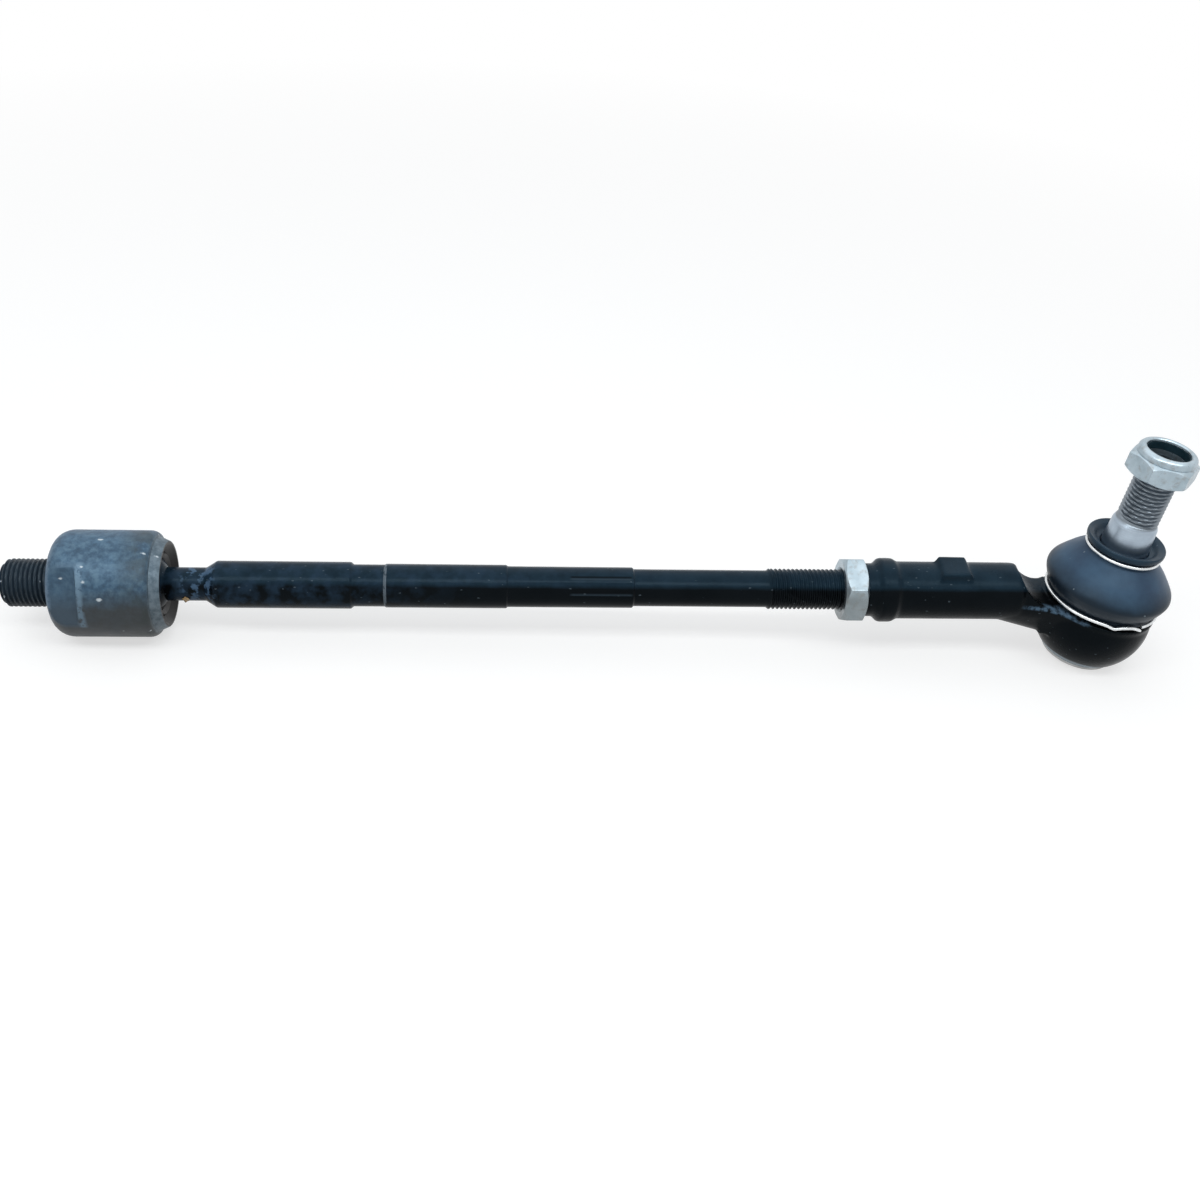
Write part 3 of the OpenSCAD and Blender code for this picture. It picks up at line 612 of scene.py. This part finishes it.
def hex_nut(name, flats, t, bore, phase, matrix, base_h=0.0, top_rows=(), bore_rows=(), face=0.6):
    """A nut: chamfered hexagon, then optional collar rows, then the hole. Rows are (height, radius)."""
    segments = 360
    theta = np.linspace(0, 2 * np.pi, segments, endpoint=False)
    hexagon = hex_radius(theta, flats, phase)
    face_r = flats / 2 - face
    drop = np.clip(hexagon - face_r, 0.02, None) * math.tan(math.radians(30))
    rows = []
    full = np.ones(segments)
    bore_chamfer = 0.8

    def add(h, r):
        rows.append((full * h, full * r))
    add(0.8, bore)
    add(0.0, bore + bore_chamfer)
    add(0.0, face_r - 1.2)
    add(0.0, face_r)
    for f in (0.35, 0.7, 0.93):
        rows.append((drop * f, face_r + (hexagon - face_r) * f))
    rows.append((drop + 0.10, hexagon))
    for f in (0.25, 0.5, 0.75):
        rows.append((drop + (t - 2 * drop) * f, hexagon))
    rows.append((t - drop - 0.10, hexagon))
    for f in (0.93, 0.7, 0.35):
        rows.append((t - drop * f, face_r + (hexagon - face_r) * f))
    add(t, face_r)
    for h, r in top_rows:
        add(h, r)
    for h, r in bore_rows:
        add(h, r)
    verts = np.concatenate([np.stack([r * np.cos(theta), r * np.sin(theta), h + base_h], 1) for h, r in rows])
    faces = []
    n = len(rows)
    for i in range(n):
        a, b = i * segments, (i + 1) % n * segments
        for j in range(segments):
            k = (j + 1) % segments
            faces.append((a + j, a + k, b + k, b + j))
    return new_object(name, verts, faces, matrix)


JAM_T = 7.9
NOSE_X = 271.5
jam = hex_nut("jam_nut_body", 21, JAM_T, 7.05, math.radians(26), ON_ROD, NOSE_X - JAM_T,
              bore_rows=[(JAM_T, 7.85), (JAM_T - 0.8, 7.05)])
dress(jam, "jam_nut", "jam_nut", ZINC, 25)

LOCK_H, LOCK_HEX_T, LOCK_COLLAR_T = 57.4, 7.2, 2.6
LOCK_TOP = LOCK_HEX_T + LOCK_COLLAR_T
collar_rows = [(LOCK_HEX_T + 0.15, 9.85), (LOCK_TOP - 1.5, 9.8), (LOCK_TOP - 0.9, 9.65), (LOCK_TOP - 0.4, 9.25),
               (LOCK_TOP - 0.1, 8.7), (LOCK_TOP, 8.1)]
lip_rows = [(LOCK_TOP - 0.1, 7.7), (LOCK_TOP - 0.4, 7.4), (LOCK_TOP - 1.0, 7.3), (LOCK_TOP - 1.15, 7.6),
            (LOCK_TOP - 1.15, 8.55), (LOCK_TOP - 3.65, 8.55), (LOCK_TOP - 3.65, 7.05)]
lock = hex_nut("lock_nut_body", 20.6, LOCK_HEX_T, 7.05, math.radians(48), ON_STUD, LOCK_H,
               top_rows=collar_rows, bore_rows=lip_rows)
dress(lock, "lock_nut", "lock_nut", ZINC, 25)


# Outer housing: the forging

def hull_of(name, balls):
    """The convex hull of several balls, given as (x, y, z, radius) in mm."""
    bm = bmesh.new()
    for x, y, z, r in balls:
        made = bmesh.ops.create_icosphere(bm, subdivisions=4, radius=r * MM)
        bmesh.ops.translate(bm, verts=made["verts"], vec=(x * MM, y * MM, z * MM))
    hull = bmesh.ops.convex_hull(bm, input=bm.verts)
    inside = [g for g in hull["geom_interior"] if isinstance(g, bmesh.types.BMVert)]
    bmesh.ops.delete(bm, geom=inside, context="VERTS")
    mesh = bpy.data.meshes.new(name)
    bm.to_mesh(mesh)
    bm.free()
    obj = bpy.data.objects.new(name, mesh)
    bpy.context.scene.collection.objects.link(obj)
    return obj


def apply_modifiers(obj):
    """Bakes the object's modifiers into its mesh."""
    bpy.context.view_layer.update()
    depsgraph = bpy.context.evaluated_depsgraph_get()
    mesh = bpy.data.meshes.new_from_object(obj.evaluated_get(depsgraph))
    obj.modifiers.clear()
    obj.data = mesh


def cut(obj, *cutters):
    """Takes the cutters away from the object."""
    for cutter in cutters:
        m = obj.modifiers.new("cut", "BOOLEAN")
        m.operation = "DIFFERENCE"
        m.object = cutter
        m.solver = "MANIFOLD"
        apply_modifiers(obj)
        bpy.data.objects.remove(cutter, do_unlink=True)


def join(objects):
    """Joins meshes into the first one."""
    bm = bmesh.new()
    for o in objects:
        bm.from_mesh(o.data)
    bm.to_mesh(objects[0].data)
    bm.free()
    for o in objects[1:]:
        bpy.data.objects.remove(o, do_unlink=True)
    return objects[0]


BOWL_R = 19.7
RELIEF_H, RELIEF_ROUND, RELIEF_R = 5.8, 13.0, 21.0


def neck_web():
    """The web that widens the neck into the bowl, drafted towards its underside."""
    fillet, half, thick, draft = 19.0, 9.6, 12.0, 0.8
    reach = math.sqrt((BOWL_R + fillet) ** 2 - (half + fillet) ** 2)
    turn = math.asin(reach / (BOWL_R + fillet))
    arc = [(-reach + fillet * math.sin(a), half + fillet * (1 - math.cos(a))) for a in np.linspace(0, turn, 12)]
    plan = arc + [(x, -y) for x, y in reversed(arc)]
    top, low = RELIEF_H, RELIEF_H - thick
    verts = [(x, y, top) for x, y in plan] + [(x * draft, y * draft, low) for x, y in plan]
    n = len(plan)
    faces = [(i, (i + 1) % n, n + (i + 1) % n, n + i) for i in range(n)] + [tuple(range(n)), tuple(range(n, 2 * n))]
    return new_object("neck_web", verts, faces, ON_STUD)


def outer_housing():
    """Sleeve, collar, pad, neck and bowl grown together, then turned down round the bowl."""
    nose = NOSE_X
    sleeve = lathe("sleeve", soften([(nose, 0), (nose, 9.2), (nose + 3.6, 9.2), (nose + 5.4, 11.1), (nose + 9.8, 11.1),
                                     (nose + 11.6, 9.95), (325.5, 9.95), (326.5, 8.5), (326.5, 0)], 0.5, 3), ON_ROD, 96)
    foot, top = 9.4, 11.35
    pad_plan = [(-5.8, 2), (5.8, 2), (5.8, foot - 0.6), (4.7, top), (-4.7, top), (-5.8, foot - 0.6)]
    pad_verts = [(x, y, z) for y in (-5, 5) for x, z in pad_plan]
    pad_faces = [(i, (i + 1) % 6, 6 + (i + 1) % 6, 6 + i) for i in range(6)] + [tuple(range(6)), tuple(range(6, 12))]
    pad = new_object("pad", pad_verts, pad_faces,
                     Matrix.Rotation(math.radians(6), 4, "X") @ Matrix.Translation((301.9 * MM, 0, 0)) @ Matrix.Scale(MM, 4))
    neck = hull_of("neck", [(320.0, 0.0, 0.0, 9.7), (BALL_X - 15, 0, -4.2, 9.2), (BALL_X - 13, 0, -10.4, 7)])
    low = math.acos(-14.97 / BOWL_R)
    bowl_arc = [(BOWL_R * math.cos(a), BOWL_R * math.sin(a)) for a in np.linspace(low, math.acos(3.8 / BOWL_R), 24)]
    bowl = lathe("bowl", soften([(-14.95, 0), (-14.95, 12.6)] + bowl_arc + [(5.9, 19.6), (6.8, 17.1), (9.2, 17.1), (9.2, 0)], 0.3, 2),
                 ON_STUD, 128)
    shaft = join([sleeve, pad, neck, neck_web(), bowl])
    shaft.name = "outer_housing_body"
    grow(shaft, 0.42)
    forge(shaft, 10)
    relief = [(RELIEF_H, 0)] + [(RELIEF_H + RELIEF_ROUND * (1 + math.sin(a)), RELIEF_R + RELIEF_ROUND * math.cos(a))
                                for a in np.radians(np.arange(-90, 1, 6))] + [(36, RELIEF_R + RELIEF_ROUND), (36, 0)]
    cut(shaft, lathe("relief", relief, ON_STUD, 192))
    rim = lathe("rim", [(-4, 12), (-4, 18.9)] + [p for p in bowl_arc if p[0] > -3.5] + [(5.9, 19.65), (6.1, 19.5), (6.8, 17.1), (9.2, 17.1), (9.2, 12)],
                ON_STUD, 192, ring=True)
    round_crease(shaft, 40)
    shaft = join([shaft, rim])
    grow(shaft, 0.36)
    forge(shaft, 5)
    bore = lathe("bore", [(NOSE_X - 1, 0), (NOSE_X - 1, 7.05), (NOSE_X + 48, 7.05), (NOSE_X + 48, 0)], ON_ROD, 96)
    hollow = lathe("hollow", [(-16, 0), (-16, 11.7), (-5, 11.7), (-5, 12.86)]
                   + [(13.8 * math.sin(a), 13.8 * math.cos(a)) for a in np.linspace(-0.35, 0.71, 14)]
                   + [(9.07, 10.4), (9.8, 10.6), (9.8, 0)], ON_STUD, 96)
    cut(shaft, bore, hollow)
    return shaft


def grow(obj, voxel):
    """Melts overlapping solids into one skin."""
    m = obj.modifiers.new("grow", "REMESH")
    m.mode = "VOXEL"
    m.voxel_size = voxel * MM
    apply_modifiers(obj)


def round_crease(obj, rounds):
    """Rounds the edge that the turning leaves on the sleeve's end."""
    group = obj.vertex_groups.new(name="crease")
    inverse = ON_STUD.inverted()
    for v in obj.data.vertices:
        p = inverse @ v.co
        away = (math.hypot(p.x, p.y) - (RELIEF_R + RELIEF_ROUND - 0.5)) / 3.0
        weight = math.exp(-away * away) * min(1.0, max(0.0, (p.z - 8.5) / 4))
        group.add([v.index], weight, "REPLACE")
    m = obj.modifiers.new("crease", "SMOOTH")
    m.factor = 0.7
    m.iterations = rounds
    m.vertex_group = group.name
    apply_modifiers(obj)


def forge(obj, rounds):
    """Softens the edges as a forging die does, most of all on the neck."""
    group = obj.vertex_groups.new(name="forged")
    for v in obj.data.vertices:
        x = v.co.x / MM
        in_neck = min(1.0, max(0.0, (x - 296) / 8)) * min(1.0, max(0.0, (344 - x) / 8))
        group.add([v.index], 0.3 + 0.7 * in_neck, "REPLACE")
    m = obj.modifiers.new("forged", "SMOOTH")
    m.factor = 0.6
    m.iterations = rounds
    m.vertex_group = group.name
    apply_modifiers(obj)


dress(outer_housing(), "outer_housing", "outer_end", BLACK, 40)


# End cover

cover = lathe("end_cover_body", soften([(-14.97, 0), (-14.97, 12.6), (-15.7, 12.6), (-16.27, 12.1), (-16.27, 9.4), (-15.8, 8.8), (-15.8, 0)],
                                       0.25, 3), ON_STUD, 144)
dress(cover, "end_cover", "outer_end", COVER, 30)


# Wire rings

def wire_loop(name, radius, height, wire, matrix, start, sweep, tail=0.0, kink=0.0):
    """A split ring of round wire whose two ends pass each other, one of them bent outwards."""
    steps, sides = 260, 14
    verts, faces = [], []
    for i in range(steps):
        t = i / (steps - 1)
        a = start + sweep * t
        r = radius
        h = height
        over = max(0.0, (t - 0.965) / 0.035)
        r += tail * over ** 2
        h += kink * math.exp(-abs((t - 0.919) / 0.018) ** 1.5) - 1.3 * tail * over ** 2
        centre = np.array([r * math.cos(a), r * math.sin(a), h])
        out = np.array([math.cos(a), math.sin(a), 0])
        up = np.array([0, 0, 1.0])
        shrink = 1.0 if 0 < i < steps - 1 else 0.8
        for k in range(sides):
            b = 2 * math.pi * k / sides
            verts.append(centre + shrink * wire / 2 * (out * math.cos(b) + up * math.sin(b)))
    for i in range(steps - 1):
        for k in range(sides):
            n = (k + 1) % sides
            faces.append((i * sides + k, i * sides + n, (i + 1) * sides + n, (i + 1) * sides + k))
    faces.append(tuple(range(sides)))
    faces.append(tuple((steps - 1) * sides + k for k in range(sides)))
    return new_object(name, verts, faces, matrix)


lower = wire_loop("boot_lower_ring_body", 19.35, 8.2, 1.25, ON_STUD, math.radians(-66), 2 * math.pi - 0.03, tail=0.7, kink=-0.9)
dress(lower, "boot_lower_ring", "outer_end", WIRE, 40)
upper = wire_loop("boot_upper_ring_body", 12.45, 28.2, 1.25, ON_STUD, math.radians(60), 2 * math.pi - 0.02)
dress(upper, "boot_upper_ring", "boot_upper_ring", WIRE, 40)


# Grease left at the inner housing's mouth

def grease_blob():
    """A small smear of grease on the rod's neck, beside the housing's mouth."""
    bm = bmesh.new()
    bmesh.ops.create_icosphere(bm, subdivisions=4, radius=1.0)
    for v in bm.verts:
        d = v.co.copy()
        lump = 1 + 0.22 * math.sin(5 * d.x + 2 * d.y) * math.cos(4 * d.z) + 0.12 * math.sin(9 * d.y + 3 * d.z)
        v.co = Vector((42.3 + 1.1 * d.x * lump, -5.0 + 0.9 * d.y * lump, -2.4 + 1.2 * d.z * lump))
    bmesh.ops.scale(bm, vec=(MM, MM, MM), verts=bm.verts)
    mesh = bpy.data.meshes.new("grease")
    bm.to_mesh(mesh)
    bm.free()
    obj = bpy.data.objects.new("grease", mesh)
    bpy.context.scene.collection.objects.link(obj)
    return obj


dress(grease_blob(), None, "tie_rod", GREASE, 60)


# Dust boot

BOOT_SPLIT = 20.0


def boot_outline():
    """The boot's section from the bead's inner edge, up the outside, over the lip and down the inside."""
    outside = [(7.2, 17.4), (7.2, 18.4), (9.1, 18.4), (9.9, 19.3), (12.4, 20.9), (14.9, 21.8), (16.6, 21.3), (18.6, 19.8),
               (22.0, 17.0), (25.2, 13.6), (27.2, 11.55), (29.1, 11.55), (29.8, 13.4), (31.4, 13.4), (31.8, 13.1)]
    dish = [(31.8, 12.0), (31.0, 10.9), (29.7, 9.9), (29.3, 8.6), (29.1, 8.45)]
    inside = [(26.2, 8.45), (24.9, 10.2), (22.0, 14.6), (18.1, 18.4), (14.9, 20.3), (12.8, 19.2), (10.2, 17.7), (7.2, 17.4)]
    return outside, dish, inside


def split_at(points, height):
    """The profile below and above a height, both with a point on it. The profile rises or falls all the way."""
    below, above = [], []
    for a, b in zip(points, points[1:] + [None]):
        (below if a[0] <= height else above).append(a)
        if b is not None and (a[0] - height) * (b[0] - height) < 0:
            t = (height - a[0]) / (b[0] - a[0])
            p = (height, a[1] + (b[1] - a[1]) * t)
            below.append(p)
            above.append(p)
    return below, above


def dust_boot():
    """The boot in two parts, split at a height on the stud."""
    outside, dish, inside = boot_outline()
    outer_low, outer_high = split_at(dense(soften(outside, 1.1, 5), 0.5, 0, 40), BOOT_SPLIT)
    inner_low, inner_high = split_at(dense(soften(inside, 0.8, 3), 0.8, 0, 40), BOOT_SPLIT)
    lower_part = lathe("dust_boot_skirt", inner_low[:-1] + outer_low, ON_STUD)
    upper_part = lathe("dust_boot_neck", outer_high + soften(dish, 0.5, 3)[1:] + inner_high, ON_STUD)
    return lower_part, upper_part


skirt, neck_part = dust_boot()
for part in (skirt, neck_part):
    smooth(part, 50)
    part.data.materials.append(RUBBER)
    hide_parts("dust_boot")
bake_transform(skirt)
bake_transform(neck_part)


# Ball stud

def ball_stud():
    """Ball, neck, ground taper, undercut and thread."""
    ball_r, neck_r = 11.5, 6.2
    ball = [(ball_r * math.cos(a), ball_r * math.sin(a)) for a in np.linspace(math.pi, math.asin(neck_r / ball_r), 26)]
    steps = soften([ball[-1], (15.5, neck_r), (19, 8.665), (38.4, 7.7), (39.3, 7.3), (39.9, 7.0), (41, 7.0)], 0.4, 3)
    thread = dense([(41, 7.0), (61.0, 7.0), (62.4, 5.6)], 0.13, 40, 63)
    outline = ball[:-1] + steps + thread[1:] + [(62.4, 0)]

    def warp(h, radius, theta):
        if h > 40:
            return radius - thread_cut(h, theta, STUD_PITCH, 39.8, 63)
        return radius
    return lathe("ball_stud_body", outline, ON_STUD, 192, warp)


dress(ball_stud(), "ball_stud", "ball_stud", STEEL, 30)

for name, material in (("preload_disc", SPRING), ("rear_seat", ACETAL), ("front_seat", ACETAL), ("seat_spring", SPRING),
                       ("ball_seat", ACETAL), ("nut_insert", NYLON)):
    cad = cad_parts[name]
    cad.data.materials.clear()
    cad.data.materials.append(material)


# Camera, fitted to the photograph

FOCAL_PX = 1333.0
IMAGE_PX = 1200.0
CAMERA_DOWN = math.radians(36.1)
CAMERA_TURN = math.radians(5.4)
CAMERA_ROLL = math.radians(3.63)
CAMERA_DISTANCE = 459.0
CAMERA_TARGET = (180.6, 0.0, -5.35)

forward = Vector((math.sin(CAMERA_TURN) * math.cos(CAMERA_DOWN), math.cos(CAMERA_TURN) * math.cos(CAMERA_DOWN), -math.sin(CAMERA_DOWN)))
right = forward.cross(Vector((0, 0, 1))).normalized()
above = right.cross(forward)
rolled_right = right * math.cos(CAMERA_ROLL) + above * math.sin(CAMERA_ROLL)
rolled_up = above * math.cos(CAMERA_ROLL) - right * math.sin(CAMERA_ROLL)
place = (Vector(CAMERA_TARGET) - forward * CAMERA_DISTANCE) * MM
camera_data = bpy.data.cameras.new("camera")
camera_data.sensor_width = 36
camera_data.lens = FOCAL_PX / IMAGE_PX * 36
camera_data.clip_start = 0.01
camera = bpy.data.objects.new("camera", camera_data)
bpy.context.scene.collection.objects.link(camera)
basis = Matrix.Identity(4)
for row in range(3):
    basis[row][0], basis[row][1], basis[row][2], basis[row][3] = rolled_right[row], rolled_up[row], -forward[row], place[row]
camera.matrix_world = basis
bpy.context.scene.camera = camera


# Floor, lights and world

FLOOR_Z_LEFT = -17.8
FLOOR_NEAR = (0.46, 0.45, 0.44)
FLOOR_LIFT = 0.62
FLOOR_TILT = math.atan((27.0 - 17.8) / 360)


def floor():
    """A large pale floor that touches the inner housing and the end cover."""
    size = 3.0
    bm = bmesh.new()
    bmesh.ops.create_grid(bm, x_segments=1, y_segments=1, size=size)
    mesh = bpy.data.meshes.new("floor")
    bm.to_mesh(mesh)
    bm.free()
    obj = bpy.data.objects.new("floor", mesh)
    bpy.context.scene.collection.objects.link(obj)
    obj.matrix_world = Matrix.Translation((6.4 * MM, 0, (FLOOR_Z_LEFT - 0.02) * MM)) @ Matrix.Rotation(FLOOR_TILT, 4, "Y")
    mat = bpy.data.materials.new("floor")
    mat.use_nodes = True
    tree = mat.node_tree
    tree.nodes.clear()
    coords = tree.nodes.new("ShaderNodeTexCoord").outputs["Object"]
    reach = node(tree, "ShaderNodeVectorMath", {0: coords, 1: (0.17, 0, 0)}, operation="DISTANCE").outputs["Value"]
    far = ramp(tree, reach, [(0.30, grey(0)), (0.75, grey(1))])
    near = node(tree, "ShaderNodeBsdfDiffuse", {"Color": FLOOR_NEAR + (1,)})
    path = tree.nodes.new("ShaderNodeLightPath")
    shown = maths(tree, "MAXIMUM", path.outputs["Is Camera Ray"],
                  maths(tree, "MAXIMUM", path.outputs["Is Glossy Ray"], path.outputs["Is Transmission Ray"]))
    lift = node(tree, "ShaderNodeEmission", {"Color": (1, 1, 1, 1), "Strength": maths(tree, "MULTIPLY", shown, FLOOR_LIFT)})
    lit = node(tree, "ShaderNodeAddShader", {0: near.outputs[0], 1: lift.outputs[0]})
    white = node(tree, "ShaderNodeEmission", {"Color": (1, 1, 1, 1), "Strength": shown})
    faded = node(tree, "ShaderNodeMixShader", {0: far, 1: lit.outputs[0], 2: white.outputs[0]})
    out = tree.nodes.new("ShaderNodeOutputMaterial")
    tree.links.new(faded.outputs[0], out.inputs["Surface"])
    obj.data.materials.append(mat)
    return obj


floor()


def area_light(name, place, target, size, power, colour):
    data = bpy.data.lights.new(name, "AREA")
    data.shape = "RECTANGLE"
    data.size, data.size_y = size
    data.energy = power
    data.color = colour
    obj = bpy.data.objects.new(name, data)
    bpy.context.scene.collection.objects.link(obj)
    direction = Vector(target) - Vector(place)
    obj.location = place
    obj.rotation_euler = direction.to_track_quat("-Z", "Y").to_euler()
    return obj


MIDDLE = (0.19, 0, 0)
area_light("sky", (0.16, 0.22, 0.80), MIDDLE, (1.9, 1.3), 4.5, (0.95, 0.98, 1.0))
area_light("key", (0.19, -0.36, 0.71), MIDDLE, (1.5, 0.2), 4.4, (0.94, 0.98, 1.0))

world = bpy.data.worlds.new("world")
bpy.context.scene.world = world
world.use_nodes = True
tree = world.node_tree
background = tree.nodes["Background"]
path = tree.nodes.new("ShaderNodeLightPath")
dim = node(tree, "ShaderNodeBackground", {"Color": (0.86, 0.93, 1.0, 1), "Strength": 0.30})
background.inputs["Color"].default_value = (1, 1, 1, 1)
background.inputs["Strength"].default_value = 1.0
shown = maths(tree, "MAXIMUM", path.outputs["Is Camera Ray"],
              maths(tree, "MAXIMUM", path.outputs["Is Glossy Ray"], path.outputs["Is Transmission Ray"]))
chosen = node(tree, "ShaderNodeMixShader", {0: shown, 1: dim.outputs[0], 2: background.outputs[0]})
tree.links.new(chosen.outputs[0], tree.nodes["World Output"].inputs["Surface"])

bpy.context.scene.view_settings.view_transform = "Standard"
